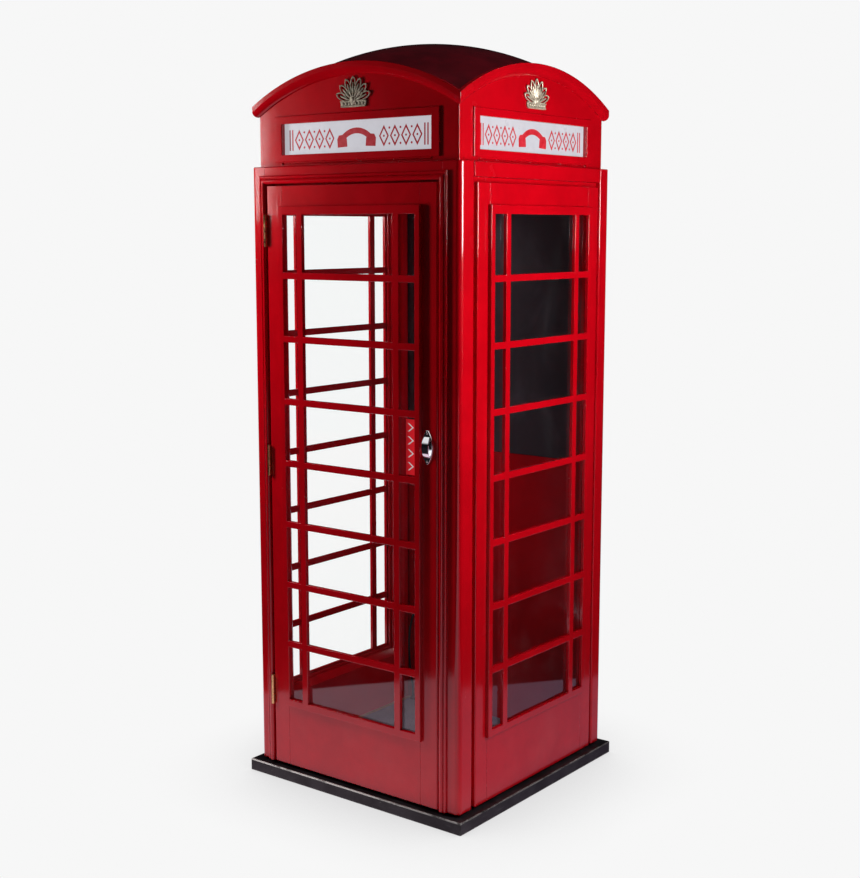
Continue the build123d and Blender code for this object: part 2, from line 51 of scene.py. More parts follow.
# ---------------------------------------------------------------- node graph helper
class Graph:
    """One procedural material, built with short calls."""

    def __init__(self, name):
        self.material = bpy.data.materials.new(name)
        self.material.use_nodes = True
        self.tree = self.material.node_tree
        self.tree.nodes.clear()
        self.place = self.add("TexCoord").outputs["Object"]

    def add(self, kind, inputs=None, **settings):
        node = self.tree.nodes.new("ShaderNode" + kind)
        for key, value in settings.items():
            setattr(node, key, value)
        for key, value in (inputs or {}).items():
            self.feed(node.inputs[key], value)
        return node

    def feed(self, socket, value):
        if isinstance(value, bpy.types.NodeSocket):
            self.tree.links.new(value, socket)
        else:
            socket.default_value = value

    def math(self, operation, a, b=0.0, clamp=False):
        node = self.add("Math", {0: a, 1: b}, operation=operation, use_clamp=clamp)
        return node.outputs[0]

    def stretched(self, scale):
        return self.add("Mapping", {"Vector": self.place, "Scale": scale}).outputs[0]

    def noise(self, scale, detail=3.0, stretch=None, distortion=0.0, roughness=0.5):
        place = self.stretched(stretch) if stretch else self.place
        inputs = {"Vector": place, "Scale": scale, "Detail": detail, "Roughness": roughness,
                  "Distortion": distortion}
        return self.add("TexNoise", inputs).outputs[0]

    def ramp(self, value, low, high, smooth=True):
        """0 below low, 1 above high."""
        mode = "SMOOTHSTEP" if smooth else "LINEAR"
        node = self.add("MapRange", {"Value": value, "From Min": low, "From Max": high},
                        interpolation_type=mode)
        return node.outputs[0]

    def between(self, value, low, high):
        """Map 0..1 to low..high."""
        return self.add("MapRange", {"Value": value, "To Min": low, "To Max": high}).outputs[0]

    def mix(self, share, a, b):
        node = self.add("Mix", data_type="RGBA")
        self.feed(node.inputs[0], share)
        self.feed(node.inputs[6], a)
        self.feed(node.inputs[7], b)
        return node.outputs[2]

    def axis(self, name):
        return self.add("SeparateXYZ", {0: self.place}).outputs[name]

    def reach(self):
        """Distance from the middle, measured square to the walls."""
        x, y = (self.math("ABSOLUTE", self.axis(name)) for name in "XY")
        return self.math("MAXIMUM", x, y)

    def bump(self, height, strength, distance, normal=None):
        inputs = {"Height": height, "Strength": strength, "Distance": distance}
        if normal is not None:
            inputs["Normal"] = normal
        return self.add("Bump", inputs).outputs[0]

    def soft_edges(self, radius):
        return self.add("Bevel", {"Radius": radius}, samples=4).outputs[0]

    def edge_mask(self, radius, sharpness=0.12):
        """1 on outside and inside edges, 0 on flat faces."""
        bevel = self.soft_edges(radius)
        flat = self.add("NewGeometry").outputs["Normal"]
        dot = self.add("VectorMath", {0: bevel, 1: flat}, operation="DOT_PRODUCT").outputs["Value"]
        return self.ramp(self.math("SUBTRACT", 1.0, dot), 0.01, sharpness)

    def surface(self, shader):
        output = self.add("OutputMaterial")
        self.tree.links.new(shader, output.inputs["Surface"])
        return self.material

    def emission(self, colour):
        return self.add("Emission", {"Color": colour}).outputs[0]

    def choose(self, share, a, b):
        """Shader a where share is 0, shader b where it is 1."""
        return self.add("MixShader", {0: share, 1: a, 2: b}).outputs[0]

    def principled(self, **inputs):
        named = {key.replace("_", " "): value for key, value in inputs.items()}
        return self.add("BsdfPrincipled", named).outputs[0]


# ---------------------------------------------------------------- paints
def gloss_paint(name, base, deep, grain, wear=1.0, roughness=0.22, coat=1.0):
    """Brushed gloss paint: uneven depth, brush marks along the grain, orange peel, rubbed edges."""
    g = Graph(name)
    cloud = g.noise(2.6, 4.0)
    mottle = g.noise(17.0, 5.0, roughness=0.6)
    shade = g.math("ADD", g.math("MULTIPLY", cloud, 0.6), g.math("MULTIPLY", mottle, 0.4))
    colour = g.mix(g.ramp(shade, 0.36, 0.66), deep, base)
    streaks = g.noise(1.0, 3.0, stretch=grain)
    colour = g.mix(g.between(streaks, 0.0, 0.10), colour, deep)

    edge = g.edge_mask(0.0022)
    rubbed = g.math("MULTIPLY", edge, g.ramp(g.noise(38.0, 6.0, roughness=0.7), 0.56, 0.70))
    chips = g.math("MULTIPLY", g.edge_mask(0.005), g.ramp(g.noise(150.0, 3.0, distortion=0.6), 0.69, 0.72))
    specks = g.ramp(g.noise(210.0, 2.0), 0.79, 0.82)
    patches = g.ramp(g.noise(7.0, 3.0), 0.52, 0.66)
    specks = g.math("MULTIPLY", specks, patches)
    specks = g.math("MULTIPLY", specks, 0.7)
    worn = g.math("MULTIPLY", g.math("MAXIMUM", rubbed, specks), wear, clamp=True)
    colour = g.mix(g.math("MULTIPLY", worn, 0.55), colour, (0.62, 0.20, 0.22, 1))
    colour = g.mix(g.math("MULTIPLY", chips, 0.75 * wear), colour, (0.74, 0.55, 0.50, 1))

    dust = g.math("MULTIPLY", g.ramp(g.noise(5.0, 5.0), 0.45, 0.75), g.ramp(g.axis("Z"), 0.55, 0.05))
    colour = g.mix(g.math("MULTIPLY", dust, 0.03), colour, (0.55, 0.42, 0.40, 1))
    rough = g.math("ADD", g.between(g.noise(9.0, 4.0), roughness - 0.06, roughness + 0.10),
                   g.math("MULTIPLY", worn, 0.25))

    peel = g.noise(330.0, 2.0)
    brush = g.noise(1.0, 4.0, stretch=[v * 2.4 for v in grain])
    wave = g.noise(6.0, 1.0)
    normal = g.soft_edges(0.0024)
    normal = g.bump(wave, 0.03, 0.010, normal)
    normal = g.bump(brush, 0.16, 0.0011, normal)
    normal = g.bump(peel, 0.10, 0.0005, normal)
    normal = g.bump(g.math("SUBTRACT", 1.0, chips), 0.35, 0.0006, normal)
    coat_rough = g.between(g.noise(12.0, 4.0), 0.03, 0.085)
    return g.surface(g.principled(
        Base_Color=colour, Roughness=rough, Normal=normal, Coat_Weight=coat,
        Coat_Roughness=coat_rough, Coat_Normal=normal, Coat_IOR=1.5, Specular_IOR_Level=0.06))


RED = (0.56, 0.0006, 0.0065, 1)
RED_DEEP = (0.455, 0.0004, 0.0050, 1)
ALONG_Z = (160.0, 160.0, 2.2)
ALONG_X = (2.2, 160.0, 160.0)
ALONG_Y = (160.0, 2.2, 160.0)

red_upright = gloss_paint("gloss_red_upright", RED, RED_DEEP, ALONG_Z)
red_cross_x = gloss_paint("gloss_red_cross_x", RED, RED_DEEP, ALONG_X)
red_cross_y = gloss_paint("gloss_red_cross_y", RED, RED_DEEP, ALONG_Y)
red_board = gloss_paint("gloss_red_board", RED, RED_DEEP, (60.0, 60.0, 6.0), wear=0.7)
red_header = gloss_paint("gloss_red_header", RED, RED_DEEP, (14.0, 14.0, 90.0), wear=1.3)
roof_red = gloss_paint("roof_dark_red", (0.19, 0.005, 0.013, 1), (0.085, 0.004, 0.008, 1),
                       (30.0, 30.0, 30.0), wear=0.8, roughness=0.30)


def black_paint():
    """Satin black over timber, with a pale line along the top edges that is partly rubbed paint and partly a
    painted highlight, strongest at the front and on the left.
    """
    g = Graph("satin_black_plinth")
    side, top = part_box("plinth")[1][0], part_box("plinth")[1][2]
    colour = g.mix(g.ramp(g.noise(14.0, 5.0), 0.35, 0.7), (0.008, 0.0075, 0.009, 1), (0.022, 0.020, 0.024, 1))
    scuff = g.math("MULTIPLY", g.ramp(g.noise(1.0, 4.0, stretch=(22.0, 22.0, 160.0)), 0.56, 0.72),
                   g.ramp(g.noise(5.0, 3.0), 0.4, 0.65))
    colour = g.mix(g.math("MULTIPLY", scuff, 0.45), colour, (0.07, 0.066, 0.075, 1))
    edge = g.math("MULTIPLY", g.edge_mask(0.005), g.ramp(g.noise(26.0, 6.0, roughness=0.7), 0.33, 0.58))
    colour = g.mix(g.math("MULTIPLY", edge, 0.6), colour, (0.46, 0.43, 0.42, 1))
    # pale top-edge line: rubbed paint plus a painted highlight, made strongest on the front and left faces,
    # where the left lamp falls
    near_top = g.ramp(g.axis("Z"), top - 0.0050, top - 0.0025)
    near_side = g.ramp(g.reach(), side - 0.006, side - 0.003)
    worn_and_highlit_line = g.math("MULTIPLY", near_top, near_side)
    worn_and_highlit_line = g.math("MULTIPLY", worn_and_highlit_line, g.ramp(g.noise(9.0, 5.0, roughness=0.7), 0.36, 0.50))
    in_front = g.ramp(g.axis("Y"), 0.030 - side, 0.005 - side)
    worn_and_highlit_line = g.math("MULTIPLY", worn_and_highlit_line, g.between(in_front, 0.35, 0.95))
    on_left = g.ramp(g.axis("X"), 0.40, -0.10)
    worn_and_highlit_line = g.math("MULTIPLY", worn_and_highlit_line, g.between(on_left, 0.35, 1.0))
    colour = g.mix(worn_and_highlit_line, colour, (0.86, 0.82, 0.80, 1))
    specks = g.ramp(g.noise(160.0, 2.0), 0.74, 0.80)
    colour = g.mix(g.math("MULTIPLY", specks, 0.4), colour, (0.35, 0.34, 0.34, 1))
    normal = g.bump(g.noise(60.0, 5.0), 0.25, 0.0010, g.soft_edges(0.002))
    normal = g.bump(g.noise(420.0, 2.0), 0.2, 0.0004, normal)
    rough = g.between(g.noise(18.0, 4.0), 0.38, 0.62)
    return g.surface(g.principled(Base_Color=colour, Roughness=rough, Normal=normal,
                                  Specular_IOR_Level=0.25, Coat_Weight=0.10, Coat_Roughness=0.3))


def black_board():
    """Smooth black board with wiped, cloudy smears."""
    g = Graph("black_board")
    smear = g.noise(3.2, 6.0, distortion=1.4, roughness=0.6)
    wipe = g.noise(1.0, 4.0, stretch=(5.0, 5.0, 4.0), distortion=1.6)
    cloud = g.math("MULTIPLY", g.ramp(smear, 0.42, 0.72), g.ramp(wipe, 0.35, 0.7))
    colour = g.mix(g.math("MULTIPLY", cloud, 0.30), (0.042, 0.041, 0.048, 1), (0.150, 0.146, 0.165, 1))
    rough = g.between(cloud, 0.28, 0.55)
    normal = g.bump(g.noise(240.0, 3.0), 0.12, 0.0004, g.soft_edges(0.0015))
    return g.surface(g.principled(Base_Color=colour, Roughness=rough, Normal=normal, Coat_Weight=0.2))


# ---------------------------------------------------------------- glass and sign faces
def pane_glass(name):
    """Thin clear glass: reflects by angle, with faint wipe marks and dust in the lower panes. It passes only
    two thirds of the lamps' light, a painted shade that darkens the booth inside.
    """
    g = Graph(name)
    dust = g.math("MULTIPLY", g.ramp(g.noise(11.0, 6.0, roughness=0.65), 0.45, 0.8),
                  g.ramp(g.axis("Z"), 1.2, 0.3))
    wipe = g.ramp(g.noise(1.0, 5.0, stretch=(7.0, 7.0, 2.0), distortion=1.2), 0.5, 0.75)
    normal = g.bump(g.noise(1.8, 1.0), 0.04, 0.02)
    outside = g.math("SUBTRACT", 1.0, g.add("NewGeometry").outputs["Backfacing"])
    fresnel = g.add("Fresnel", {"IOR": 1.45, "Normal": normal}).outputs[0]
    share = g.math("MULTIPLY", g.math("MULTIPLY", fresnel, 1.9, clamp=True), outside)
    tint = g.mix(share, (0, 0, 0, 1), (0.95, 0.98, 1.0, 1))
    gloss = g.add("BsdfGlossy", {"Color": tint, "Roughness": 0.02, "Normal": normal}).outputs[0]
    # painted shade: for light on its way from a lamp, each pane lets only two thirds pass, to darken the
    # inside
    shadowing = g.add("LightPath").outputs["Is Shadow Ray"]
    through = g.mix(shadowing, (0.992, 0.996, 0.995, 1), (0.66, 0.66, 0.69, 1))
    clear = g.add("BsdfTransparent", {"Color": through}).outputs[0]
    pane = g.add("AddShader", {0: clear, 1: gloss}).outputs[0]
    film = g.add("BsdfDiffuse", {"Color": (0.8, 0.8, 0.8, 1)}).outputs[0]
    haze = g.math("ADD", g.math("MULTIPLY", dust, 0.008), g.math("MULTIPLY", wipe, 0.003))
    return g.surface(g.choose(haze, pane, film))


def opal(name, glow):
    """Backlit opal sheet with faint dust."""
    g = Graph(name)
    dust = g.noise(24.0, 6.0, roughness=0.6)
    colour = g.mix(g.ramp(dust, 0.4, 0.75), (0.20, 0.195, 0.21, 1), (0.15, 0.145, 0.16, 1))
    normal = g.bump(g.noise(300.0, 2.0), 0.06, 0.0004, g.soft_edges(0.001))
    return g.surface(g.principled(
        Base_Color=colour, Roughness=g.between(dust, 0.22, 0.38), Normal=normal, Subsurface_Weight=0.15,
        Subsurface_Radius=(0.01, 0.01, 0.01), Emission_Color=(0.93, 0.92, 1.0, 1), Emission_Strength=glow))


def print_red():
    g = Graph("sign_print_red")
    patch = g.noise(60.0, 5.0)
    colour = g.mix(g.ramp(patch, 0.35, 0.7), (0.50, 0.004, 0.012, 1), (0.60, 0.03, 0.05, 1))
    normal = g.bump(g.noise(500.0, 2.0), 0.08, 0.0003)
    return g.surface(g.principled(Base_Color=colour, Roughness=0.35, Normal=normal, Coat_Weight=0.3,
                                  Emission_Color=(0.55, 0.01, 0.02, 1), Emission_Strength=0.10))


# ---------------------------------------------------------------- metals, plastics and floor
def metal(name, bright, dull, roughness, scratch=0.15, tarnish=0.5, painted_reflection=0.0):
    """Worn metal. A painted reflection lets the parts that face upwards glow in their own colour, as if they
    mirrored a light above; the last argument sets its strength.
    """
    g = Graph(name)
    patch = g.noise(55.0, 6.0, roughness=0.65)
    grime = g.math("MULTIPLY", g.ramp(patch, 0.48, 0.72), tarnish)
    colour = g.mix(grime, bright, dull)
    lines = g.noise(1.0, 3.0, stretch=(900.0, 900.0, 60.0))
    normal = g.bump(lines, scratch, 0.0003, g.soft_edges(0.0006))
    rough = g.math("ADD", g.between(patch, roughness * 0.7, roughness * 1.5), g.math("MULTIPLY", grime, 0.25))
    # painted reflection: emission where the mirror direction points up stands in for a reflected light above,
    # which no lamp gives
    mirrored = g.add("SeparateXYZ", {0: g.add("TexCoord").outputs["Reflection"]}).outputs["Z"]
    painted_overhead_glint = g.math("MULTIPLY", g.ramp(mirrored, 0.18, 0.42), g.ramp(mirrored, 0.98, 0.85))
    return g.surface(g.principled(Base_Color=colour, Metallic=1.0, Roughness=rough, Normal=normal,
                                  Emission_Color=colour, Emission_Strength=g.math("MULTIPLY", painted_overhead_glint, painted_reflection)))


def pale_gilt():
    """Worn silver-gold casting: bright on the raised parts, with painted shade that turns the recesses dark
    brown.
    """
    g = Graph("pale_gilt")
    patch = g.noise(70.0, 6.0, roughness=0.65)
    # painted shade: ambient occlusion darkens the colour in the recesses between the petals and beads, where
    # shade falls
    open_to_air = g.add("AmbientOcclusion", {"Distance": 0.012}, samples=6).outputs["AO"]
    shaded_recess = g.ramp(open_to_air, 0.85, 0.35)
    colour = g.mix(g.ramp(patch, 0.35, 0.70), (0.66, 0.58, 0.46, 1), (0.42, 0.34, 0.24, 1))
    colour = g.mix(g.math("MULTIPLY", shaded_recess, 0.85), colour, (0.10, 0.05, 0.03, 1))
    normal = g.bump(g.noise(420.0, 4.0), 0.35, 0.0005, g.soft_edges(0.0008))
    rough = g.math("ADD", g.between(patch, 0.30, 0.48), g.math("MULTIPLY", shaded_recess, 0.2))
    return g.surface(g.principled(Base_Color=colour, Metallic=0.45, Roughness=rough, Normal=normal))


def moulded(name, light, dark, roughness, grain=380.0, glow=0.0):
    """Moulded plastic or rubber with a fine grain and handling marks."""
    g = Graph(name)
    colour = g.mix(g.ramp(g.noise(20.0, 5.0), 0.35, 0.7), light, dark)
    normal = g.bump(g.noise(grain, 2.0), 0.25, 0.0004, g.soft_edges(0.0012))
    rough = g.between(g.noise(30.0, 4.0), roughness, roughness + 0.15)
    # glow is painted light: above 0 the part shines by itself, though no lamp is in it
    return g.surface(g.principled(Base_Color=colour, Roughness=rough, Normal=normal,
                                  Emission_Color=light, Emission_Strength=glow))


def mat_rubber():
    """Pale grey rubber, dusty and worn in patches."""
    g = Graph("mat_rubber")
    patch = g.noise(6.0, 6.0, roughness=0.6)
    colour = g.mix(g.ramp(patch, 0.35, 0.7), (0.20, 0.20, 0.235, 1), (0.14, 0.14, 0.17, 1))
    colour = g.mix(g.ramp(g.noise(120.0, 4.0), 0.55, 0.75), colour, (0.05, 0.05, 0.06, 1))
    normal = g.bump(g.noise(350.0, 3.0), 0.3, 0.0005, g.soft_edges(0.0008))
    return g.surface(g.principled(Base_Color=colour, Roughness=0.75, Normal=normal))


def raw_timber():
    g = Graph("raw_timber")
    rings = g.noise(1.0, 5.0, stretch=(5.0, 90.0, 5.0), distortion=1.5)
    colour = g.mix(g.ramp(rings, 0.3, 0.7), (0.42, 0.28, 0.15, 1), (0.25, 0.15, 0.075, 1))
    normal = g.bump(rings, 0.3, 0.001)
    return g.surface(g.principled(Base_Color=colour, Roughness=0.7, Normal=normal))


materials = {
    "red_upright": red_upright,
    "red_cross_x": red_cross_x,
    "red_cross_y": red_cross_y,
    "red_board": red_board,
    "red_header": red_header,
    "roof": roof_red,
    "black_paint": black_paint(),
    "black_board": black_board(),
    "glass": pane_glass("pane_glass"),
    "opal": opal("opal_sign", 0.48),
    "print": print_red(),
    "brass": metal("aged_brass", (0.80, 0.55, 0.24, 1), (0.26, 0.15, 0.06, 1), 0.26),
    "chrome": metal("chrome", (0.86, 0.86, 0.88, 1), (0.45, 0.44, 0.43, 1), 0.07, 0.06, 0.25, painted_reflection=0.85),
    "steel": metal("plated_steel", (0.62, 0.61, 0.60, 1), (0.3, 0.28, 0.26, 1), 0.3),
    "lamp": moulded("lamp_white", (0.82, 0.82, 0.80, 1), (0.70, 0.69, 0.66, 1), 0.4),
    "lamp_cover": opal("lamp_cover", 0.35),
    "mat": mat_rubber(),
    "timber": raw_timber(),
    "rubber": moulded("cable_rubber", (0.012, 0.012, 0.013, 1), (0.03, 0.03, 0.03, 1), 0.45, 600.0),
    "plastic": moulded("black_plastic", (0.015, 0.015, 0.016, 1), (0.03, 0.03, 0.03, 1), 0.4),
    # the door label glows with painted light, to stay bright in the grille's shadow
    "label": moulded("label_red_painted_glow", (0.62, 0.012, 0.02, 1), (0.52, 0.01, 0.018, 1), 0.28, 700.0, 0.45),
    "gilt": pale_gilt(),
    # the label's white chevrons glow with painted light as well
    "sign_white": moulded("label_white_painted_glow", (0.80, 0.78, 0.78, 1), (0.62, 0.58, 0.58, 1), 0.35, 700.0, 0.28),
}

LOOKS = {
    "red_upright": ("post_front_left", "post_front_right", "posts_back", "door_jamb_left", "door_jamb_right",
                    "right_wall_stiles", "left_wall_stiles", "back_wall_stiles", "door_stile_hinge",
                    "door_stile_lock", "right_wall_glazing_beads", "left_wall_glazing_beads",
                    "door_glazing_beads"),
    "red_cross_x": ("top_rail_front", "top_rail_back", "door_head", "threshold", "back_wall_rails",
                    "door_top_rail", "door_bottom_rail"),
    "red_cross_y": ("top_rails_side", "right_wall_rails", "left_wall_rails"),
    "red_board": ("right_wall_grille", "left_wall_grille", "door_grille", "back_wall_sheet",
                  "back_board_lower", "ceiling_board"),
    "red_header": ("header_walls", "sign_frames", "arch_mouldings"),
    "roof": ("roof_dome",),
    "black_paint": ("plinth", "base_frame"),
    "black_board": ("back_board_upper",),
    "glass": ("door_glass", "left_wall_glass", "right_wall_glass"),
    "opal": ("sign_panels",),
    "label": ("door_label",),
    "brass": ("hinge_frame_leaves", "hinge_door_leaves", "hinge_pins", "hinge_frame_screws",
              "hinge_door_screws"),
    "chrome": ("door_pull",),
    "steel": ("door_pull_screws", "catch_plate"),
    "gilt": ("pediment_ornaments",),
    "lamp": ("sign_lamps", "ceiling_lamp_base"),
    "lamp_cover": ("ceiling_lamp_cover",),
    "timber": ("floor_board", "header_blocks", "back_board_battens"),
    "mat": ("floor_mat",),
    "rubber": ("cable",),
    "plastic": ("catch_magnet", "cable_glands"),
}
for look, names in LOOKS.items():
    for name in names:
        mesh = nodes[name].data
        mesh.materials.clear()
        mesh.materials.append(materials[look])


# ---------------------------------------------------------------- modelled pieces
class Shape:
    """Gathers plates, tubes and beads into one piece on the front wall: x across, y back, z up, metres."""

    def __init__(self):
        self.bm = bmesh.new()

    def loop(self, points, y):
        return [self.bm.verts.new((x, y, z)) for x, z in points]

    def bridge(self, first, second):
        for i in range(len(first)):
            j = (i + 1) % len(first)
            self.bm.faces.new((first[i], first[j], second[j], second[i]))

    def plate(self, outline, y_front, y_back, bevel=0.0):
        """Flat plate with the given outline; a bevel cuts off its front edge."""
        centre = middle(outline)
        back = self.loop(outline, y_back)
        if bevel:
            rim = self.loop(outline, y_front + bevel)
            front = self.loop(shrunk(outline, centre, bevel), y_front)
            self.bridge(back, rim)
            self.bridge(rim, front)
        else:
            front = self.loop(outline, y_front)
            self.bridge(back, front)
        self.bm.faces.new(front)
        self.bm.faces.new(list(reversed(back)))

    def ring(self, outer, inner, y_front, y_back):
        """Flat plate between two outlines with the same number of points."""
        loops = [self.loop(outer, y_back), self.loop(outer, y_front), self.loop(inner, y_front),
                 self.loop(inner, y_back)]
        for first, second in zip(loops, loops[1:] + loops[:1]):
            self.bridge(first, second)

    def slab(self, outline, z_low, z_high, bevel):
        """Lying slab with a chamfered top edge; the outline holds x and y, anticlockwise."""
        centre = middle(outline)
        inset = [(x - math.copysign(bevel, x - centre[0]), y - math.copysign(bevel, y - centre[1]))
                 for x, y in outline]
        levels = [(outline, z_low), (outline, z_high - bevel), (inset, z_high)]
        loops = [[self.bm.verts.new((x, y, z)) for x, y in points] for points, z in levels]
        self.bridge(loops[0], loops[1])
        self.bridge(loops[1], loops[2])
        self.bm.faces.new(loops[2])
        self.bm.faces.new(list(reversed(loops[0])))

    def tube(self, path, radii, closed=False, sides=10):
        """Round bar along path; radii holds one radius for each point."""
        loops = []
        front = Vector((0, -1, 0))
        turn = [2 * math.pi * k / sides for k in range(sides)]
        count = len(path)
        for i, point in enumerate(path):
            before = path[i - 1] if closed or i else point
            after = path[(i + 1) % count] if closed or i < count - 1 else point
            along = (Vector(after) - Vector(before)).normalized()
            side = along.cross(front).normalized()
            spokes = [math.cos(t) * side + math.sin(t) * front for t in turn]
            loops.append([self.bm.verts.new(Vector(point) + radii[i] * spoke) for spoke in spokes])
        for i in range(count if closed else count - 1):
            self.bridge(loops[i], loops[(i + 1) % count])
        if not closed:
            self.bm.faces.new(list(reversed(loops[0])))
            self.bm.faces.new(loops[-1])

    def bead(self, centre, size):
        place = Matrix.Translation(centre) @ Matrix.Diagonal((*size, 1))
        bmesh.ops.create_uvsphere(self.bm, u_segments=16, v_segments=10, radius=1, matrix=place)

    def finish(self, name, look, body, turn=0):
        """Make the object, turned about Z to its own wall, and let it ride on a body."""
        bmesh.ops.recalc_face_normals(self.bm, faces=self.bm.faces)
        bmesh.ops.transform(self.bm, matrix=Matrix.Rotation(math.radians(turn), 4, "Z"), verts=self.bm.verts)
        mesh = bpy.data.meshes.new(name)
        self.bm.to_mesh(mesh)
        self.bm.free()
        for face in mesh.polygons:
            face.use_smooth = True
        mesh.set_sharp_from_angle(angle=math.radians(35))
        mesh.materials.append(materials[look])
        piece = bpy.data.objects.new(name, mesh)
        bpy.context.scene.collection.objects.link(piece)
        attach(piece, body)
        return piece


def middle(outline):
    return tuple(sum(values) / len(outline) for values in zip(*outline))


def shrunk(outline, centre, amount):
    """Outline moved towards its centre by about the given amount."""
    result = []
    for x, z in outline:
        away = Vector((x - centre[0], z - centre[1]))
        reach = max(away.length, 1e-6)
        scale = (reach - min(amount, reach / 2)) / reach
        result.append((centre[0] + away.x * scale, centre[1] + away.y * scale))
    return result


WALLS = {"front": 0, "right": 90, "back": 180, "left": -90}


def diamond(x, z, half_width, half_height):
    return [(x - half_width, z), (x, z - half_height), (x + half_width, z), (x, z + half_height)]


def disc(x, z, radius, count=24):
    turn = [2 * math.pi * i / count for i in range(count)]
    return [(x + radius * math.cos(t), z + radius * math.sin(t)) for t in turn]


def bar_outline(x, z, half_width, half_height):
    return [(x - half_width, z - half_height), (x + half_width, z - half_height),
            (x + half_width, z + half_height), (x - half_width, z + half_height)]


def grip_outline(z, inner, outer):
    """Arched grip of a telephone handset, an arc of 104 degrees about a point below it."""
    turn = [math.radians(38 + 104 * i / 20) for i in range(21)]
    top = [(outer * math.cos(t), z + outer * math.sin(t)) for t in turn]
    low = [(inner * math.cos(t), z + inner * math.sin(t)) for t in reversed(turn)]
    return top + low


def ear_outline(side, z):
    """Ear or mouth piece at one end of the grip."""
    corners_xz = ((0.038, -0.028), (0.078, -0.030), (0.080, -0.004), (0.073, 0.008), (0.050, 0.010),
                  (0.040, -0.004))
    return [(side * x, z + up) for x, up in corners_xz]


def sign_print(wall, turn):
    """Printed sign face: a plain handset between rows of diamonds, dots and bars."""
    low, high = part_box("sign_panels")
    face, ink = low[1], 0.0004
    front, z = face - ink, (low[2] + high[2]) / 2 - 0.003
    first, pitch, tall = 0.112, 0.044, 0.033
    shape = Shape()
    shape.plate(grip_outline(z - 0.062, 0.074, 0.092), front, face)
    for side in (-1, 1):
        shape.plate(ear_outline(side, z), front - ink / 4, face)
        for number in range(4):
            x = side * (first + pitch * number)
            shape.ring(diamond(x, z, 0.0195, tall), diamond(x, z, 0.0138, 0.0225), front, face)
            shape.plate(disc(x, z, 0.0035, 16), front, face)
            if number < 3:
                for up in (0.024, -0.024):
                    shape.plate(disc(x + side * pitch / 2, z + up, 0.0036, 16), front, face)
        for shift in (-0.006, 0.006):
            shape.plate(bar_outline(side * 0.279 + shift, z, 0.0025, tall), front, face)
    return shape.finish("sign_print_" + wall, "print", "booth", turn)


def petal_path(base, angle, length, half_width, count=26):
    """Closed outline of a petal that starts at base and points along angle."""
    along = Vector((math.sin(angle), 0, math.cos(angle)))
    across = Vector((math.cos(angle), 0, -math.sin(angle)))
    points = []
    for i in range(count):
        t = 2 * math.pi * i / count
        share = 0.5 - 0.5 * math.cos(t)
        wide = half_width * math.sin(t) * (0.55 + 0.45 * share)
        points.append(base + along * (length * share) + across * wide)
    return points


def ornament_band(shape, face, z):
    """Beaded band that the petals stand on, with a bowed rim above and below its beads."""
    thick = 0.0045
    band = [(0.051, -0.0096), (0.054, 0.0094), (0.044, 0.0104)]
    left = [(-x, up) for x, up in band]
    outline = left[:1] + [(-0.042, -0.0109), (0.042, -0.0109)] + band + left[:0:-1]
    shape.plate([(x, z + up) for x, up in outline], face - thick, face, 0.0012)
    for up, half in ((-0.0079, 0.0505), (0.0079, 0.0530)):
        steps = [x / 10 for x in range(-10, 11)]
        path = [(t * half, face - thick, z + up + 0.0006 * (1 - t ** 2)) for t in steps]
        shape.tube(path, [0.0022] * len(path))
    for number in range(-3, 4):
        shape.bead((number * 0.0135, face - thick - 0.0003, z), (0.0045, 0.0030, 0.0045))


def ornament_petal(shape, base, number):
    """Open petal with a swelling rib and a bead at its tip."""
    angle, length = math.radians(23.5 * number), 0.0735 - 0.0008 * abs(number)
    rim = petal_path(base, angle, length, 0.0125)
    shape.tube(rim, [0.0021] * len(rim), closed=True)
    along = Vector((math.sin(angle), 0, math.cos(angle)))
    rib = {0.18: 0.0030, 0.35: 0.0034, 0.52: 0.0036, 0.68: 0.0030, 0.80: 0.0014}
    shape.tube([base + along * (length * share) for share in rib], list(rib.values()))
    shape.bead(base + along * (length + 0.0005), (0.0036, 0.0030, 0.0036))


def ornament(wall, turn):
    """Cast palmette: a beaded band with seven open, ribbed petals that rise behind a boss."""
    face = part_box("header_walls")[0][1] - 0.0002
    band_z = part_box("pediment_ornaments")[0][2] + 0.0081
    shape = Shape()
    ornament_band(shape, face, band_z)
    base = Vector((0, face - 0.0035, band_z + 0.0069))
    for number in range(-3, 4):
        ornament_petal(shape, base, number)
    boss = 0.0075
    shape.plate(disc(0, band_z + 0.0109, 0.0150), face - boss, face, 0.003)
    shape.bead((0, face - boss, band_z + 0.0134), (boss, 0.0035, boss))
    return shape.finish("ornament_" + wall, "gilt", "booth", turn)


def label_print():
    """White chevrons that point to the pull."""
    low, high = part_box("door_label")
    face, x = low[1], (low[0] + high[0]) / 2 - 0.003
    half, width, pitch = 0.013, 0.0062, 0.041
    shape = Shape()
    for number in range(4):
        z = high[2] - 2 * half - pitch * number
        arrow = [(x - 0.010, z + half), (x + 0.008, z), (x - 0.010, z - half)]
        shape.plate(arrow + [(px + width, pz) for px, pz in reversed(arrow)], face - 0.0003, face)
    return shape.finish("label_chevrons", "sign_white", "door")


def rectangle(low_x, low_y, high_x, high_y):
    return [(low_x, low_y), (high_x, low_y), (high_x, high_y), (low_x, high_y)]


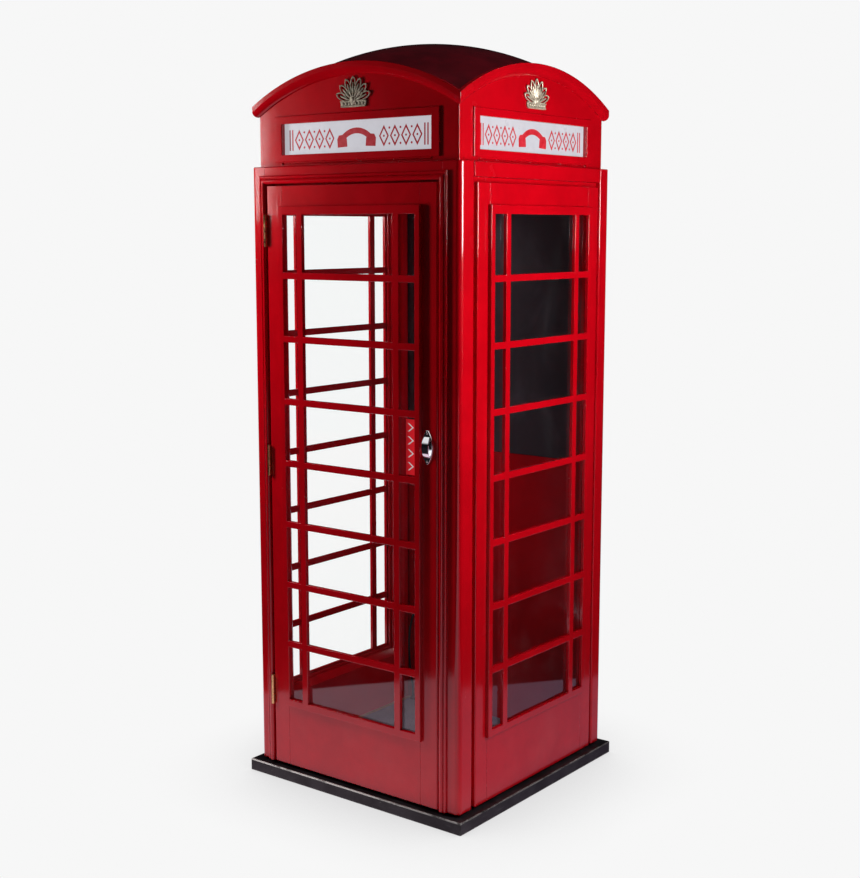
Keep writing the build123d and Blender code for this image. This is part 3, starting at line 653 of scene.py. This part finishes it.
def mat_ribs():
    """Rubber mat with a border and fine raised ribs that run from the door to the back."""
    low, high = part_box("floor_mat")
    border, pitch, half_rib, rib_height = 0.012, 0.009, 0.0026, 0.0018
    shape = Shape()
    shape.slab(rectangle(low[0], low[1], high[0], high[1]), low[2], high[2] - rib_height, 0.0006)
    count = int((high[0] - low[0] - 2 * border) / pitch)
    first = (low[0] + high[0] - count * pitch) / 2
    for number in range(count + 1):
        x = first + number * pitch
        rib = rectangle(x - half_rib, low[1] + border, x + half_rib, high[1] - border)
        shape.slab(rib, high[2] - rib_height - 0.0002, high[2], 0.0008)
    mat = shape.finish("floor_mat_ribbed", "mat", "booth")
    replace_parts(mat, "floor_mat")


for wall, turn in WALLS.items():
    sign_print(wall, turn)
    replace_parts(ornament(wall, turn), "pediment_ornaments")
label_print()
mat_ribs()


# ---------------------------------------------------------------- floor, light and camera
def pale_floor():
    """Pale floor that fades into the backdrop, with a painted shadow on the ground next to the booth. In
    reflections it is a pale sheet in a dark room.
    """
    g = Graph("pale_floor")
    x, y = g.axis("X"), g.axis("Y")
    path = g.add("LightPath").outputs

    distance = g.add("VectorMath", {0: g.place}, operation="LENGTH").outputs["Value"]
    # painted shadow: the floor's own colour greys where the booth stands near
    near = g.add("AmbientOcclusion", {"Distance": 0.45}, samples=8).outputs["AO"]
    painted_contact_shadow = g.mix(g.ramp(near, 0.0, 0.95, smooth=False), (0.50, 0.49, 0.50, 1), BACKDROP)
    seen = g.emission(g.mix(g.ramp(distance, 0.7, 1.9), painted_contact_shadow, BACKDROP))

    across = g.math("ADD", g.math("MULTIPLY", x, 0.80), g.math("MULTIPLY", y, 0.60))
    sheet_edge = g.ramp(g.math("ABSOLUTE", across), 1.41, 1.44)
    to_right = g.ramp(g.math("ADD", x, y), -0.7, 0.7)
    dark = g.emission((0.012, 0.010, 0.012, 1))
    mirrored = g.emission(g.mix(to_right, (0.85, 0.66, 0.77, 1), (0.30, 0.23, 0.33, 1)))
    mirrored = g.choose(sheet_edge, mirrored, dark)
    bounce = g.emission(g.mix(to_right, (1.25, 1.2, 1.2, 1), (0.85, 0.82, 0.82, 1)))
    bounce = g.choose(g.ramp(g.reach(), 0.95, 1.30), bounce, dark)
    unseen = g.choose(path["Is Glossy Ray"], bounce, mirrored)
    return g.surface(g.choose(path["Is Camera Ray"], unseen, seen))


def add_floor():
    bpy.ops.mesh.primitive_circle_add(vertices=96, radius=12, fill_type="NGON")
    floor = bpy.context.object
    floor.name = "studio_floor"
    floor.data.materials.append(pale_floor())


def add_world():
    """White to the camera, a soft even glow for light, a dark room in reflections."""
    world = bpy.data.worlds.new("studio")
    bpy.context.scene.world = world
    world.use_nodes = True
    tree = world.node_tree
    tree.nodes.clear()

    def background(colour, strength):
        node = tree.nodes.new("ShaderNodeBackground")
        node.inputs["Color"].default_value = colour
        node.inputs["Strength"].default_value = strength
        return node.outputs[0]

    def mixed(share, a, b):
        node = tree.nodes.new("ShaderNodeMixShader")
        for socket, value in zip(node.inputs, (share, a, b)):
            tree.links.new(value, socket)
        return node.outputs[0]

    path = tree.nodes.new("ShaderNodeLightPath").outputs
    glow, dark_room = background((1, 1, 1, 1), 0.05), background((0.9, 0.9, 1, 1), 0.006)
    lighting = mixed(path["Is Glossy Ray"], glow, dark_room)
    shown = mixed(path["Is Camera Ray"], lighting, background(BACKDROP, 1.0))
    tree.links.new(shown, tree.nodes.new("ShaderNodeOutputWorld").inputs["Surface"])


def add_light(name, place, target, size, power, lights=True, reflected=True):
    """Soft box that never shows itself; it can light things, be mirrored in them, or both."""
    light = bpy.data.lights.new(name, "AREA")
    light.shape = "RECTANGLE"
    light.size, light.size_y = size
    light.energy = power
    lamp = bpy.data.objects.new(name, light)
    lamp.location = place
    lamp.rotation_mode = "QUATERNION"
    lamp.rotation_quaternion = (Vector(target) - Vector(place)).to_track_quat("-Z", "Y")
    lamp.visible_camera = False
    lamp.visible_diffuse = lights
    lamp.visible_glossy = reflected
    bpy.context.scene.collection.objects.link(lamp)


def add_camera():
    """Eye height 1.89 m, 38 degrees to the right of the door, looking 8 degrees down."""
    azimuth, elevation = math.radians(37.588), math.radians(8.446)
    back = Vector((math.sin(azimuth) * math.cos(elevation), -math.cos(azimuth) * math.cos(elevation),
                   math.sin(elevation)))
    camera = bpy.data.objects.new("camera", bpy.data.cameras.new("camera"))
    camera.data.lens = 57.70
    camera.data.sensor_width = 36
    camera.location = (2.9447, -3.8449, 1.8880)
    camera.rotation_mode = "QUATERNION"
    camera.rotation_quaternion = (-back).to_track_quat("-Z", "Y")
    bpy.context.scene.collection.objects.link(camera)
    bpy.context.scene.camera = camera


add_floor()
add_world()
add_light("right_box", (1.86, -0.03, 1.75), (0.43, -0.75, 1.95), (0.7, 1.0), 37, reflected=False)
add_light("right_glint", (1.86, -0.03, 2.20), (0.43, -0.6, 2.1), (0.6, 0.8), 48, lights=False)
add_light("left_box", (-1.42, -1.05, 1.9), (0.0, -0.43, 1.65), (0.22, 0.9), 29, reflected=False)
add_light("left_glint", (-2.40, -2.2, 2.35), (-0.43, -0.43, 2.0), (0.30, 0.8), 9, lights=False)
add_light("top", (0.3, 0.4, 4.6), (0, 0, 2.0), (1.6, 1.6), 26, reflected=False)
add_camera()
bpy.context.scene.view_settings.view_transform = "Standard"
